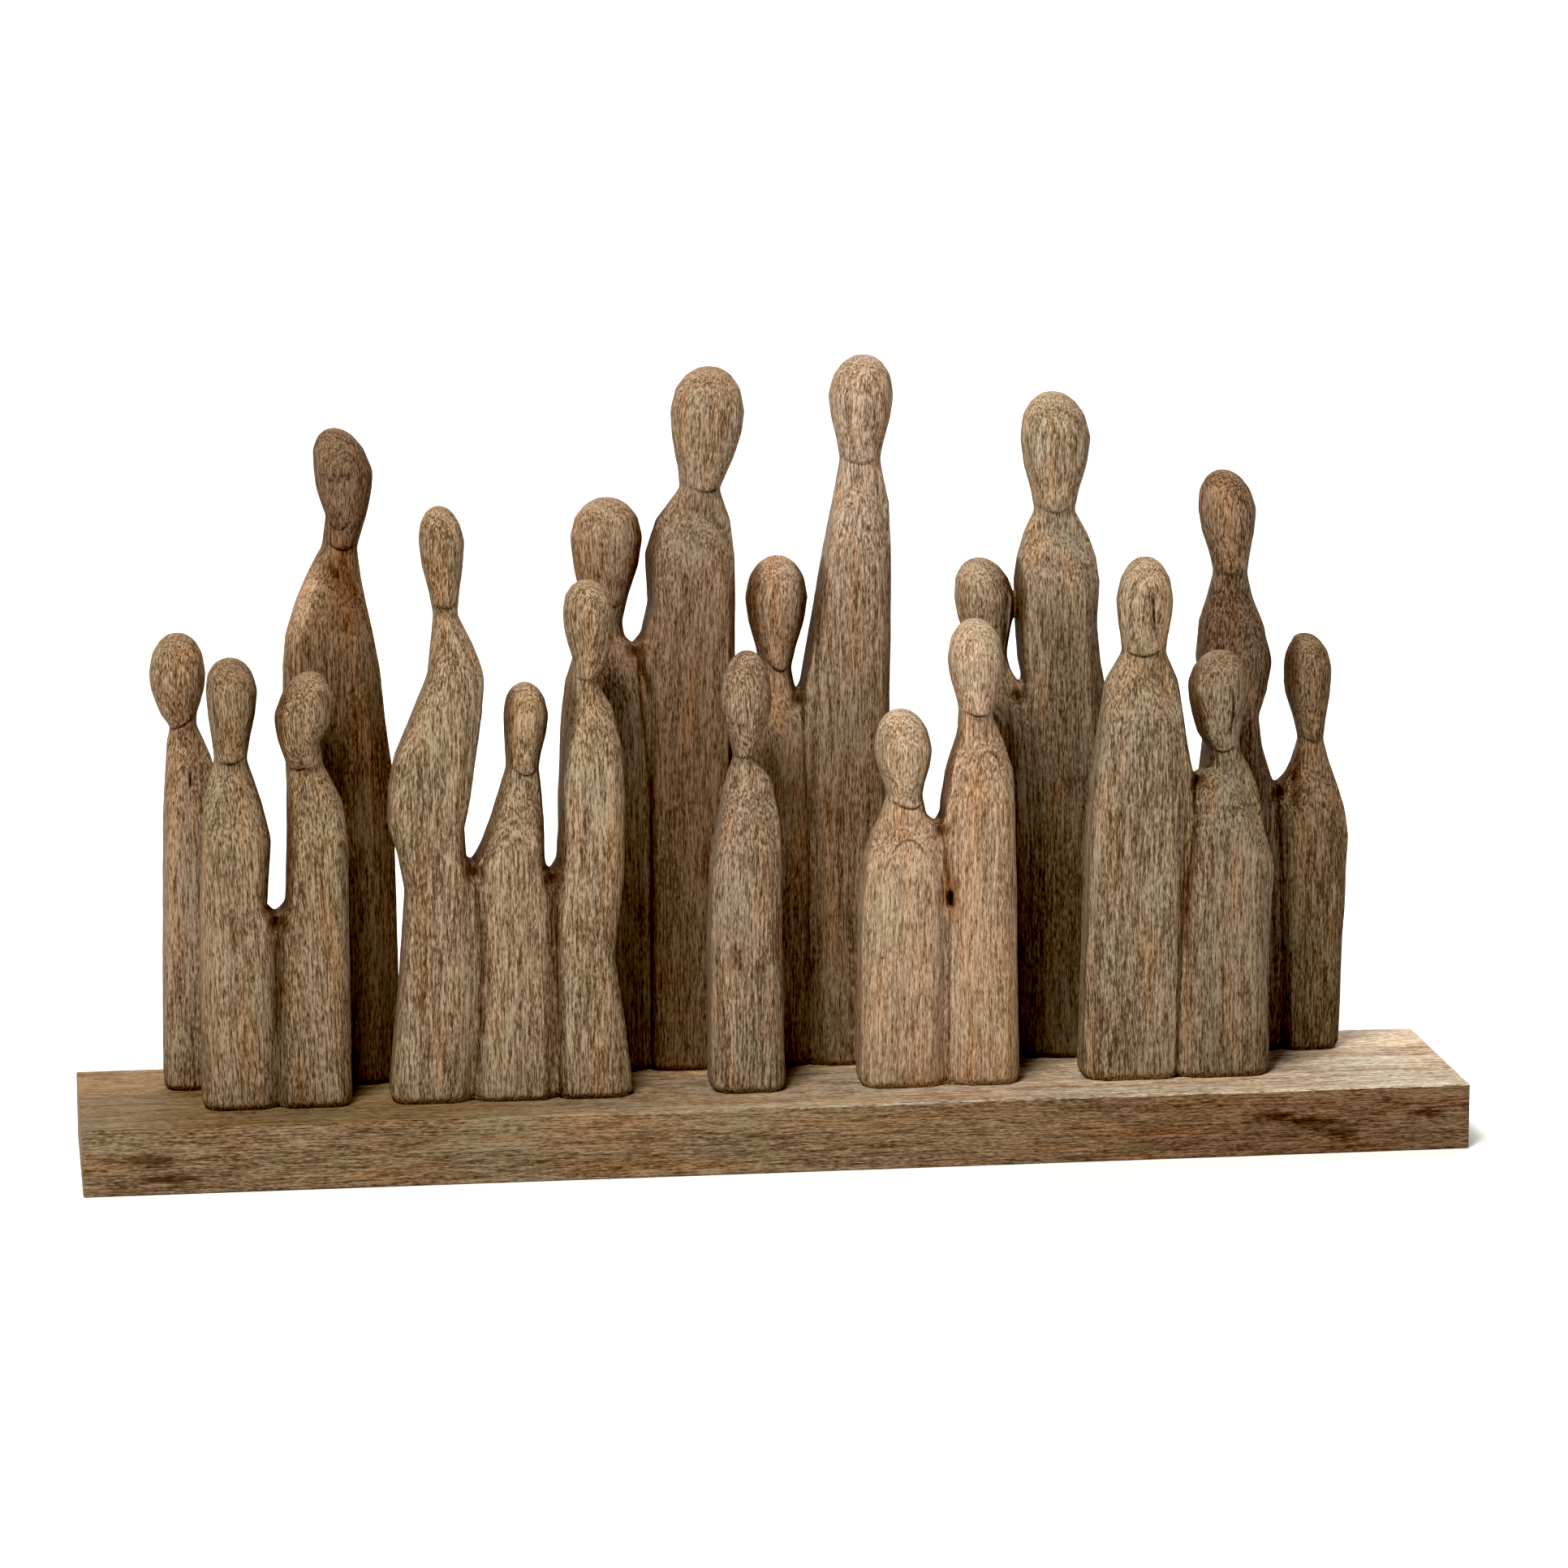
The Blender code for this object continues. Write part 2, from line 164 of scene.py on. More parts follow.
def mango_wood(name, colour, pith, grain="up", shift=0.0, lean=0.0, old=0.5, contrast=0.9, roughness=0.8):
    """Bare mango wood as a solid: shells of growth round the pith, fibres and pores along the grain.

    colour is the wood's mean; pith is the tree's middle, in mm across the grain from the origin;
    grain runs up the board or along it; shift moves the pattern along the grain, in mm, so that no
    two boards are alike; lean is the grain's tilt; old is how much brown and grey has come into it;
    contrast is how far its fibres stand out.
    """
    material = bpy.data.materials.new(name)
    material.use_nodes = True
    tree = material.node_tree
    shader = tree.nodes["Principled BSDF"]
    pale = toned(colour, pale_gain)
    brown = toned(colour, brown_gain)
    stain = toned(colour, stain_gain)
    place = add(tree, "TexCoord", {}).outputs["Object"]
    if grain == "along":
        parts = add(tree, "SeparateXYZ", {0: place}).outputs
        place = add(tree, "CombineXYZ", {0: parts[1], 1: parts[2], 2: parts[0]}).outputs[0]
    turned = add(tree, "Mapping", {"Vector": place, "Rotation": (0.0, lean, 0.0), "Scale": (1000.0,) * 3})
    turned.inputs["Location"].default_value = (0.0, 0.0, shift)
    place = turned.outputs[0]
    for size, reach in (wide_swing, small_swing):
        swing = vector(tree, "SUBTRACT", noise(tree, place, size).outputs["Color"], (0.5, 0.5, 0.5))
        place = vector(tree, "ADD", place, vector(tree, "MULTIPLY", swing, (reach, reach, 0.0)))

    out = vector(tree, "SUBTRACT", place, (*pith, 0.0))
    out = length(tree, vector(tree, "MULTIPLY", out, (1.0, 1.0, 0.0)))
    parts = add(tree, "SeparateXYZ", {0: place}).outputs
    shell = add(tree, "CombineXYZ", {0: out, 1: times(tree, parts[0], 0.06), 2: parts[2]}).outputs[0]

    fibre = noise(tree, place, fibre_size, 2.0, 0.6).outputs[0]
    strand = noise(tree, place, strand_size, 1.0, 0.5).outputs[0]
    growth = noise(tree, shell, growth_size, 2.0, 0.6).outputs[0]
    year = noise(tree, shell, year_size, 1.0, 0.5).outputs[0]
    cloud = noise(tree, place, cloud_size, 2.0, 0.6).outputs[0]

    tone = 0.5
    for value, weight in ((fibre, 2.6), (strand, 1.7), (growth, 0.6), (year, 0.5), (cloud, 0.6 * old)):
        swing = add(tree, "Math", {0: value, 1: 0.5}, operation="SUBTRACT").outputs[0]
        tone = added(tree, tone, swing, weight * contrast)
    base = blend(tree, step(tree, tone, 0.08, 0.42), stain, brown)
    base = blend(tree, step(tree, tone, 0.38, 0.92), base, pale)
    warm = noise(tree, place, warm_size, 2.0, 0.5).outputs[0]
    base = blend(tree, step(tree, warm, 0.50, 0.70, 0.0, 0.7), base, warm_colour, "MULTIPLY")
    base = blend(tree, step(tree, cloud, 0.50, 0.66, 0.0, 0.7), base, grey_colour, "MULTIPLY")

    dense = step(tree, growth, 0.62, 0.38, 0.1, 1.0)
    pores = times(tree, vessels(tree, place, *pore_size, pore_radius), dense)
    base = blend(tree, times(tree, pores, 0.75 * contrast), base, stain)

    # Painted shade in the slots, the grooves, under the chins and in a few creases, and real dark cracks
    # and gouge marks, from the skin's attribute.
    shade_and_marks = add(tree, "Attribute", {}, attribute_name="shade_and_marks").outputs["Fac"]
    base = blend(tree, step(tree, shade_and_marks, 0.0, 1.0, 0.0, 0.92), base, shade_and_mark_colour, "MULTIPLY")
    # Painted shade in the skin's hollows, and lighter wear on its proud places.
    relief = add(tree, "Attribute", {}, attribute_name="relief").outputs["Fac"]
    base = blend(tree, step(tree, relief, -0.20, -1.0, 0.0, 0.7), base, hollow_shade_colour, "MULTIPLY")
    base = blend(tree, step(tree, relief, 0.20, 1.0, 0.0, 0.35), base, proud_colour, "MULTIPLY")

    tree.links.new(base, shader.inputs["Base Color"])
    gloss = step(tree, fibre, 0.3, 0.7, roughness - 0.08, roughness + 0.08)
    tree.links.new(gloss, shader.inputs["Roughness"])
    shader.inputs["Specular IOR Level"].default_value = 0.04
    height = add(tree, "Math", {0: times(tree, pores, -0.8), 1: fibre}, operation="ADD").outputs[0]
    bump = add(tree, "Bump", {"Strength": 0.8, "Distance": bump_height, "Height": height})
    tree.links.new(bump.outputs[0], shader.inputs["Normal"])
    return material


def overlay(material, share, colour):
    """Multiplies the wood by a colour, by a share that the node tree works out."""
    tree = material.node_tree
    base = tree.nodes["Principled BSDF"].inputs["Base Color"]
    own = base.links[0].from_socket
    tree.links.new(blend(tree, share, own, colour, "MULTIPLY"), base)


def beyond(material, axis, low, high):
    """0 up to one place along X, Y or Z, and 1 from another on."""
    tree = material.node_tree
    return step(tree, coordinates(tree)[axis], low, high)


def blot(material, middle, size, colour, ragged=0.5):
    """A ragged spot in the wood: its middle and its half sizes in metres, and the colour it takes."""
    tree = material.node_tree
    place = add(tree, "TexCoord", {}).outputs["Object"]
    off = vector(tree, "SUBTRACT", place, middle)
    off = vector(tree, "MULTIPLY", off, tuple(1 / part for part in size))
    scaled = vector(tree, "MULTIPLY", off, (2.0, 2.0, 2.0))
    edge = add(tree, "TexNoise", {"Vector": scaled, "Scale": 1.0, "Detail": 3.0}).outputs[0]
    distance = added(tree, length(tree, off), edge, 2.0 * ragged)
    overlay(material, step(tree, distance, 0.4 + ragged, 1.0 + ragged, 1.0, 0.0), colour)


plank_low, plank_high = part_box("plank")
bpy.ops.object.select_all(action="DESELECT")
bpy.ops.mesh.primitive_cube_add(size=1.0, location=(plank_low + plank_high) / 2.0)
plank = bpy.context.active_object
plank.name = "plank_board"
plank.scale = plank_high - plank_low
bpy.ops.object.transform_apply(location=True, rotation=False, scale=True)
bpy.ops.object.mode_set(mode="EDIT")
bpy.ops.mesh.select_all(action="SELECT")
bpy.ops.mesh.bevel(offset=plank_edge, segments=3)
for axis in range(3):
    cuts = round((plank_high[axis] - plank_low[axis]) / plank_cut_spacing)
    direction = [0.0, 0.0, 0.0]
    direction[axis] = 1.0
    for cut in range(1, cuts):
        point = plank_low + (plank_high - plank_low) * cut / cuts
        bpy.ops.mesh.select_all(action="SELECT")
        bpy.ops.mesh.bisect(plane_co=point, plane_no=direction)
bpy.ops.object.mode_set(mode="OBJECT")

planing = bpy.data.textures.new("planing", "CLOUDS")
planing.noise_scale = plank_wave
waves = plank.modifiers.new("planing", "DISPLACE")
waves.texture = planing
waves.texture_coords = "LOCAL"
waves.mid_level = 0.0
waves.strength = -plank_hollow
bpy.ops.object.modifier_apply(modifier=waves.name)
bpy.ops.object.shade_smooth_by_angle(angle=math.radians(40.0))
plank_wood = mango_wood(
    "plank_mango", colour=(0.168, 0.111, 0.065), pith=(60.0, -75.0),
    grain="along", shift=40.0, old=0.9, contrast=0.75, roughness=0.6,
)
tree = plank_wood.node_tree
front = blend(tree, beyond(plank_wood, "X", *front_reddens), plain, front_red)
# The top pales to the right: partly paler wood, partly a painted sheen.
top = blend(tree, beyond(plank_wood, "X", *top_pale_and_sheen_span), top_left_colour, top_right_pale_and_sheen)
overlay(plank_wood, 1.0, blend(tree, beyond(plank_wood, "Z", *top_starts), front, top))
strip = step(tree, coordinates(tree)["X"], *strip_fades, strip_left_over, 1.0)
strip = times(tree, beyond(plank_wood, "Y", *strip_starts), strip)
overlay(plank_wood, strip, strip_colour)
for (along, up), (half_length, half_height) in (
    ((0.221, 0.0185), (0.013, 0.0035)),
    ((0.238, 0.0140), (0.015, 0.0050)),
    ((0.252, 0.0090), (0.010, 0.0045)),
    ((0.291, 0.0170), (0.011, 0.0035)),
    ((-0.281, 0.0155), (0.014, 0.0045)),
    ((-0.272, 0.0070), (0.020, 0.0025)),
):
    spot_size = (half_length, spot_depth, half_height)
    blot(plank_wood, (along, plank_low.y, up), spot_size, spot_colour, ragged=0.8)
plank.data.materials.append(plank_wood)
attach(plank, "root")
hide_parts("plank")


# The left front pair
# Two plain figures sawn from one thick board of pale mango wood and rounded with gouge and
# sandpaper. A short cut under each chin marks the head off, and the right one's head has an edge.

skin_size = 0.0013
skin_rounds = 3
undulation = 0.0005
undulation_size = 0.018
swell = 0.1
crease_width = 0.0007
crease_depth = 0.0009
crease_taper = 0.12
chin_reach = 0.0050
chin_overhang = 0.0006
groove_width = 0.0008
groove_depth = 0.0010
notch_reach = 0.0036
notch_depth = 0.0026
# How far, and on how steep a wall, the painted shade in the slots reaches.
slot_reach = 0.020
slot_facing = 0.55
slot_clearance = 0.0004
panel_slope = 0.42
panel_reach = 0.0070
# How broad and how deep a hollow is for full painted shade, or a proud place for full wear.
relief_reach = 14
relief_depth = 0.00050


def rough_out(node):
    """A board's sawn figures as one even skin, with the saw's corners taken off."""
    piece = bpy.data.objects.new("carved_" + node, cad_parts[node].data.copy())
    bpy.context.collection.objects.link(piece)
    piece.data.materials.clear()
    bpy.ops.object.select_all(action="DESELECT")
    piece.select_set(True)
    bpy.context.view_layer.objects.active = piece
    bpy.ops.object.mode_set(mode="EDIT")
    bpy.ops.mesh.select_all(action="SELECT")
    bpy.ops.mesh.remove_doubles(threshold=0.00001)
    bpy.ops.object.mode_set(mode="OBJECT")
    skin = piece.modifiers.new("skin", "REMESH")
    skin.mode = "VOXEL"
    skin.voxel_size = skin_size
    bpy.ops.object.modifier_apply(modifier=skin.name)
    bpy.ops.object.mode_set(mode="EDIT")
    bpy.ops.mesh.select_all(action="SELECT")
    bpy.ops.mesh.vertices_smooth(factor=0.5, repeat=skin_rounds)
    bpy.ops.object.mode_set(mode="OBJECT")
    sanding = bpy.data.textures.new("sanding", "CLOUDS")
    sanding.noise_scale = undulation_size
    waves = piece.modifiers.new("sanding", "DISPLACE")
    waves.texture = sanding
    waves.texture_coords = "LOCAL"
    waves.mid_level = -swell
    waves.strength = undulation
    bpy.ops.object.modifier_apply(modifier=waves.name)
    return piece


def places(piece):
    """The places and the normals of all of a piece's vertices."""
    mesh = piece.data
    place = np.empty(len(mesh.vertices) * 3)
    normal = np.empty(len(mesh.vertices) * 3)
    mesh.vertices.foreach_get("co", place)
    mesh.vertices.foreach_get("normal", normal)
    return place.reshape(-1, 3), normal.reshape(-1, 3)


def put(piece, place):
    piece.data.vertices.foreach_set("co", place.ravel())
    piece.data.update()


def bow(left, middle, right):
    """Points (x, z) of a smooth curve through three."""
    share = np.linspace(0.0, 1.0, 13)[:, None]
    left, middle, right = np.array(left), np.array(middle), np.array(right)
    curve = left * (1 - share) * (1 - 2 * share)
    curve += middle * 4 * share * (1 - share)
    return curve + right * share * (2 * share - 1)


def away(place, line):
    """From the front: the distance from the line, whether it is above it, and the share along it."""
    flat = place[:, (0, 2)]
    nearest = np.full(len(flat), 1.0)
    above = np.zeros(len(flat))
    along = np.zeros(len(flat))
    lengths = np.hypot(*np.diff(line, axis=0).T)
    starts = np.concatenate(([0.0], np.cumsum(lengths)))
    for number, (start, end) in enumerate(zip(line, line[1:])):
        run = end - start
        share = np.clip((flat - start) @ run / (run @ run), 0.0, 1.0)
        gap = flat - start - share[:, None] * run
        distance = np.hypot(gap[:, 0], gap[:, 1])
        closer = distance < nearest
        nearest = np.where(closer, distance, nearest)
        above = np.where(closer, np.sign(gap[:, 1]), above)
        along = np.where(closer, (starts[number] + share * lengths[number]) / starts[-1], along)
    return nearest, above, along


def choose(piece, wanted):
    """Takes the piece into edit mode with only the wanted vertices selected."""
    bpy.ops.object.select_all(action="DESELECT")
    piece.select_set(True)
    bpy.context.view_layer.objects.active = piece
    bpy.ops.object.mode_set(mode="EDIT")
    bpy.ops.mesh.select_mode(type="VERT")
    bpy.ops.mesh.select_all(action="DESELECT")
    bpy.ops.object.mode_set(mode="OBJECT")
    piece.data.vertices.foreach_set("select", wanted)
    bpy.ops.object.mode_set(mode="EDIT")


def refine(piece, line, reach):
    """Halves the skin's faces in front along the line, so that a fine cut fits in it."""
    place, normal = places(piece)
    distance, _, _ = away(place, line)
    choose(piece, (distance < reach) & (normal[:, 1] < 0.3))
    bpy.ops.mesh.subdivide(number_cuts=1)
    bpy.ops.object.mode_set(mode="OBJECT")


def facing_front(normal, sharpness=1.5):
    """How far each place faces the front, from 0 to 1."""
    return np.clip(-normal[:, 1] * sharpness, 0.0, 1.0)


def paint_shade_and_marks(piece, amount):
    """Paints shade and dark marks on the skin: an amount from 0 to 1 at each vertex, over what is there."""
    mesh = piece.data
    layer = mesh.attributes.get("shade_and_marks") or mesh.attributes.new("shade_and_marks", "FLOAT", "POINT")
    held = np.empty(len(mesh.vertices), dtype=np.float32)
    layer.data.foreach_get("value", held)
    layer.data.foreach_set("value", np.maximum(held, amount).astype(np.float32))


def press(piece, line, width, depth, roundness=2.0, fade=0.0, shade_and_marks=0.0):
    """Presses the front back along the line, or draws it forward where depth is below 0."""
    line = np.array(line)
    place, normal = places(piece)
    distance, _, along = away(place, line)
    held = facing_front(normal) * np.exp(-((distance / width) ** roundness))
    if fade:
        held *= np.clip(np.minimum(along, 1.0 - along) / fade, 0.0, 1.0)
    place[:, 1] += depth * held
    put(piece, place)
    if shade_and_marks:
        paint_shade_and_marks(piece, shade_and_marks * held)


def cut_groove(piece, *line, shade_and_marks=(0.9, 0.45)):
    """A fine cut down the groove between two figures, from their slot, where it is widest, to the foot,
    with painted shade along it and in the notch at its top.
    """
    line = np.array(line)
    refine(piece, line, 4.0 * groove_width)
    place, normal = places(piece)
    distance, _, along = away(place, line)
    facing = facing_front(normal, 1.8)
    held = facing * np.exp(-distance / groove_width) * (1.0 - 0.5 * along)
    from_slot = np.hypot(*(place[:, (0, 2)] - line[0]).T)
    notch = np.exp(-((from_slot / notch_reach) ** 2))
    place[:, 1] += groove_depth * held + facing * notch_depth * notch
    put(piece, place)
    # Painted shade in the groove, darkest near the slot, and in the notch below the slot.
    shade = held * np.interp(along, (0.0, 0.3, 1.0), (shade_and_marks[0], shade_and_marks[1], shade_and_marks[1]))
    paint_shade_and_marks(piece, np.maximum(shade, notch))


def cut_chin(piece, left, middle, right, depth=crease_depth, overhang=chin_overhang, dark=(0.5, 0.9, 0.6)):
    """The cut between head and neck with painted shade under the chin, how dark that shade is from left to
    right, and the chin above it.
    """
    line = bow(left, middle, right)
    refine(piece, line, 4.0 * crease_width)
    place, normal = places(piece)
    distance, above, along = away(place, line)
    facing = facing_front(normal)
    ends = np.clip(np.minimum(along, 1.0 - along) / crease_taper, 0.0, 1.0)
    proud = overhang * np.exp(-distance / chin_reach) * np.clip(above, 0.0, 1.0)
    shade = np.interp(along, (0.0, 0.5, 1.0), dark)
    cut = np.exp(-((distance / crease_width) ** 2)) * facing * ends
    place[:, 1] += depth * cut * (0.3 + 0.7 * shade) - facing * proud
    put(piece, place)
    # Painted shade in the cut under the chin.
    paint_shade_and_marks(piece, cut * shade)


def within(place, line):
    """Whether each place lies inside the line, closed along the foot, seen from the front."""
    inside = np.zeros(len(place), dtype=bool)
    x, z = place[:, 0], place[:, 2]
    for (x1, z1), (x2, z2) in zip(line, np.roll(line, -1, axis=0)):
        if z1 != z2:
            inside ^= ((z1 > z) != (z2 > z)) & (x < x1 + (z - z1) * (x2 - x1) / (z2 - z1))
    return inside


def carve_panels(piece, *panels):
    """Slopes the wood back round each figure's flat front: both flanks, and the chest above its arch.

    A panel is its left edge from the foot up, its arch, its right edge down, and the neck's height.
    """
    lines = [np.vstack((left, bow(*arch), right)) for left, arch, right, _ in panels]
    for line in lines:
        refine(piece, line, 1.3 * skin_size)
    place, normal = places(piece)
    nearest = np.full(len(place), 1.0)
    fade = np.zeros(len(place))
    outside = np.ones(len(place), dtype=bool)
    for line, (_, arch, _, neck) in zip(lines, panels):
        distance, _, _ = away(place, line)
        share = np.clip((neck - place[:, 2]) / (neck - arch[1][1]), 0.0, 1.0)
        fade = np.where(distance < nearest, share, fade)
        nearest = np.minimum(nearest, distance)
        outside &= ~within(place, line)
    back = panel_slope * np.minimum(nearest, panel_reach) * fade
    back *= np.clip((3.0 * panel_reach - nearest) / (2.0 * panel_reach), 0.0, 1.0)
    place[:, 1] += facing_front(normal) * back * outside
    put(piece, place)


def paint_slot_shade(piece):
    """Paints shade on the walls of the slots between figures, darker where the facing wall is nearer."""
    place, normal = places(piece)
    skin = BVHTree.FromPolygons(place.tolist(), [face.vertices[:] for face in piece.data.polygons])
    amount = np.zeros(len(place))
    sideways = np.abs(normal[:, 0])
    for number in np.flatnonzero(sideways > slot_facing):
        side = math.copysign(1.0, normal[number, 0])
        start = Vector(place[number]) + Vector((side * slot_clearance, 0.0, 0.0))
        gap = skin.ray_cast(start, Vector((side, 0.0, 0.0)), slot_reach)[3]
        if gap is not None:
            amount[number] = 1.0 - gap / slot_reach
    amount *= np.clip((sideways - slot_facing) * 4.0, 0.0, 1.0)
    paint_shade_and_marks(piece, amount ** 0.5)


def season(piece, material):
    """Feet set on the plank, painted shade in the slots, and where the skin is hollow or proud noted for
    painted shade in the hollows and wear on the proud places.
    """
    place, _ = places(piece)
    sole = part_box(piece.name.replace("carved_", ""))[0].z + skin_size * 0.5
    place[:, 2] = np.where(place[:, 2] < sole, plank_high.z, place[:, 2])
    put(piece, place)
    # Painted shade on the slot walls.
    paint_slot_shade(piece)
    place, normal = places(piece)
    mesh = piece.data
    ends = np.empty(len(mesh.edges) * 2, dtype=int)
    mesh.edges.foreach_get("vertices", ends)
    first, second = ends.reshape(-1, 2).T
    count = len(place)
    near = np.bincount(first, minlength=count) + np.bincount(second, minlength=count)
    soft = place.copy()
    for _ in range(relief_reach):
        for axis in range(3):
            total = np.bincount(first, soft[second, axis], count)
            total += np.bincount(second, soft[first, axis], count)
            soft[:, axis] = total / near
    proud = ((place - soft) * normal).sum(axis=1) / relief_depth
    relief = mesh.attributes.new("relief", "FLOAT", "POINT")
    relief.data.foreach_set("value", np.clip(proud, -1.0, 1.0).astype(np.float32))
    mesh.shade_smooth()
    mesh.materials.append(material)


def tint_where(material, colour, *limits):
    """Multiplies the wood by a colour where every limit holds.

    A limit is an axis, the place along it where the colour starts, and the place where it is full.
    """
    tree = material.node_tree
    share = 1.0
    for axis, start, full in limits:
        share = times(tree, share, step(tree, coordinates(tree)[axis], start, full))
    overlay(material, share, (*colour, 1.0))


pair = rough_out("front_left_pair")
carve_panels(
    pair,
    (
        [(-0.2505, 0.029), (-0.2508, 0.074), (-0.2504, 0.118)],
        [(-0.2479, 0.1540), (-0.2404, 0.1790), (-0.2310, 0.1535)],
        [(-0.2295, 0.117), (-0.2295, 0.073), (-0.2298, 0.029)],
        0.186,
    ),
    (
        [(-0.2155, 0.029), (-0.2149, 0.073), (-0.2149, 0.120)],
        [(-0.2139, 0.1603), (-0.2058, 0.1780), (-0.1955, 0.1598)],
        [(-0.1941, 0.127), (-0.1946, 0.072), (-0.1948, 0.029)],
        0.183,
    ),
)
cut_groove(pair, (-0.2218, 0.1133), (-0.2220, 0.0851), (-0.2223, 0.0577), (-0.2226, 0.0303))
cut_chin(pair, (-0.2482, 0.1870), (-0.2412, 0.1846), (-0.2344, 0.1881), dark=(0.0, 0.9, 0.3))
cut_chin(pair, (-0.2143, 0.1821), (-0.2115, 0.1810), (-0.2083, 0.1827))
press(pair, [(-0.2051, 0.2231), (-0.2075, 0.2040), (-0.2128, 0.1835)], 0.004, -0.0012, 1.0, fade=0.15)
pair_wood = mango_wood(
    "left_pair_mango", (0.184, 0.129, 0.081), pith=(-270.0, 60.0), shift=20.0, lean=math.radians(3.0)
)
tint_where(pair_wood, (0.83, 0.82, 0.80), ("X", -0.227, -0.231), ("Z", 0.185, 0.192))
season(pair, pair_wood)
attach(pair, "root")
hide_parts("front_left_pair")


# The front trio
# Three figures sawn and carved from one board: a tall one that leans like a flame, a small one,
# and one whose face comes to an upright edge. The mango wood is even and pale.

def round_off(piece, corner, reach, rounds=30):
    """Sands a corner of the outline, at (x, z), into a curve."""
    place, _ = places(piece)
    choose(piece, np.hypot(place[:, 0] - corner[0], place[:, 2] - corner[1]) < reach)
    bpy.ops.mesh.vertices_smooth(factor=0.5, repeat=rounds, yaxis=False)
    bpy.ops.object.mode_set(mode="OBJECT")


trio = rough_out("front_trio")
round_off(trio, (-0.1290, 0.2160), 0.011)
carve_panels(
    trio,
    (
        [
            (-0.1668, 0.029), (-0.1663, 0.071), (-0.1641, 0.108),
            (-0.1631, 0.133), (-0.1660, 0.159), (-0.1511, 0.213),
        ],
        [(-0.1477, 0.2343), (-0.1440, 0.2440), (-0.1388, 0.2287)],
        [(-0.1406, 0.198), (-0.1440, 0.144), (-0.1437, 0.107), (-0.1430, 0.071), (-0.1445, 0.029)],
        0.252,
    ),
    (
        [(-0.1283, 0.029), (-0.1275, 0.070), (-0.1272, 0.107), (-0.1255, 0.132)],
        [(-0.1232, 0.1505), (-0.1163, 0.1667), (-0.1082, 0.1501)],
        [(-0.1065, 0.132), (-0.1056, 0.106), (-0.1052, 0.069), (-0.1062, 0.029)],
        0.177,
    ),
    (
        [(-0.0946, 0.029), (-0.0944, 0.069), (-0.0948, 0.106), (-0.0939, 0.131), (-0.0926, 0.168)],
        [(-0.0910, 0.1896), (-0.0834, 0.2060), (-0.0749, 0.1892)],
        [(-0.0729, 0.160), (-0.0730, 0.138), (-0.0768, 0.113), (-0.0755, 0.080), (-0.0714, 0.029)],
        0.218,
    ),
)
cut_groove(
    trio, (-0.1351, 0.1333), (-0.1324, 0.0983), (-0.1337, 0.0643), (-0.1362, 0.0303), shade_and_marks=(0.8, 0.2)
)
cut_groove(trio, (-0.0998, 0.1293), (-0.0994, 0.0956), (-0.0987, 0.0630), (-0.0982, 0.0303))
cut_chin(trio, (-0.1520, 0.2530), (-0.1463, 0.2514), (-0.1417, 0.2542), depth=0.0007)
cut_chin(trio, (-0.1168, 0.1792), (-0.1114, 0.1761), (-0.1060, 0.1789), dark=(0.2, 0.7, 0.9))
cut_chin(
    trio, (-0.0899, 0.2191), (-0.0849, 0.2179), (-0.0792, 0.2196), overhang=0.0003, dark=(0.8, 0.3, 0.8)
)
face_edge = [(-0.0852, 0.2630), (-0.0824, 0.2472), (-0.0825, 0.2328), (-0.0844, 0.2195)]
press(trio, face_edge, 0.0035, -0.0014, 1.0, fade=0.2)
press(trio, [(-0.0855, 0.2170), (-0.0827, 0.2080)], 0.003, -0.0010, 1.0, fade=0.3)
trio_wood = mango_wood("trio_mango", (0.213, 0.152, 0.098), pith=(-100.0, 85.0), shift=170.0, old=0.4)
season(trio, trio_wood)
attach(trio, "root")
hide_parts("front_trio")


# The front single
# One figure sawn and carved from a strip of pale mango wood, which stands alone in the middle. A
# soft edge runs down its face, and its chest slopes back above an arch.

single = rough_out("front_single")
cut_chin(
    single, (-0.0197, 0.1815), (-0.0132, 0.1820), (-0.0074, 0.1842), depth=0.0006, dark=(0.3, 0.7, 0.4)
)
press(single, [(-0.0145, 0.2200), (-0.0132, 0.2000), (-0.0135, 0.1830)], 0.003, -0.0010, 1.0, fade=0.3)
carve_panels(
    single,
    (
        [(-0.0245, 0.029), (-0.0244, 0.085), (-0.0243, 0.122)],
        [(-0.0217, 0.1513), (-0.0152, 0.1639), (-0.0090, 0.1528)],
        [(-0.0054, 0.136), (-0.0036, 0.103), (-0.0007, 0.029)],
        0.182,
    ),
)
single_wood = mango_wood("single_mango", (0.200, 0.144, 0.098), pith=(-45.0, 50.0), shift=320.0)
blot(single_wood, (-0.0195, -0.0293, 0.0925), (0.0050, 0.0300, 0.0090), (0.72, 0.62, 0.54, 1.0))
season(single, single_wood)
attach(single, "root")
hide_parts("front_single")


# The front middle pair
# The palest mango board, sawn and carved into a small round-headed figure beside a taller one.
# Both chests slope back above an arch, and a knot sits in the groove between them.

low_arch = [(0.0492, 0.1346), (0.0590, 0.1428), (0.0674, 0.1334)]
high_arch = [(0.0884, 0.1721), (0.0942, 0.1819), (0.1012, 0.1736)]


def score(piece, line, width=0.0007, depth=0.0005, shade_and_marks=1.0):
    """A thin dark crack or gouge mark in the front."""
    refine(piece, np.array(line), 4.0 * width)
    press(piece, line, width, depth, fade=0.2, shade_and_marks=shade_and_marks)


